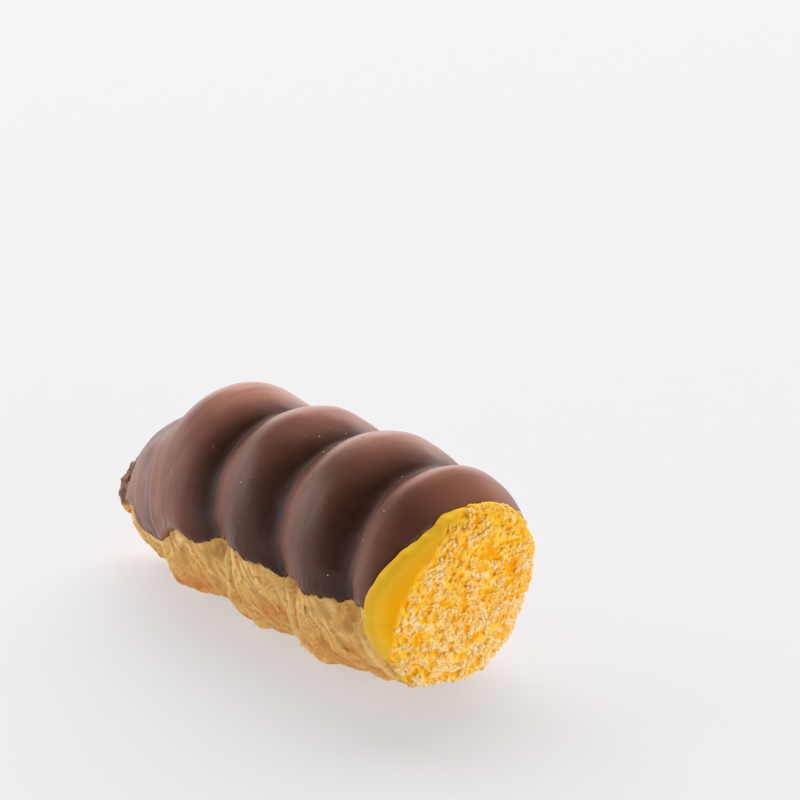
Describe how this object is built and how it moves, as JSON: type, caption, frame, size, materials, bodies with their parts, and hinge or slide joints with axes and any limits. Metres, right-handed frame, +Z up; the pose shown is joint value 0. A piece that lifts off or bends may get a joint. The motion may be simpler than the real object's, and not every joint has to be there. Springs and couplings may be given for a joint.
{
  "type": "cream horn pastry",
  "caption": "Cream horn lying on its side: a wound puff pastry horn filled with custard, coated with chocolate on top and dipped in crumbs at its mouth.",
  "frame": {"origin": "on the surface the horn rests on, below the middle of its outer box", "axes": "+X along the horn from its tail towards its filled mouth, +Z up from the resting surface"},
  "size_m": [0.123, 0.049, 0.0495],
  "materials": {
    "pastry": "baked flaky puff pastry, pale gold with browned patches",
    "chocolate": "satin set chocolate, smooth with soft highlights",
    "custard": "smooth yellow custard with golden sponge crumbs on its face"
  },
  "bodies": {
    "root": {"pastry_shell": "pastry", "chocolate_coat": "chocolate", "custard_filling": "custard"}
  },
  "joints": []
}
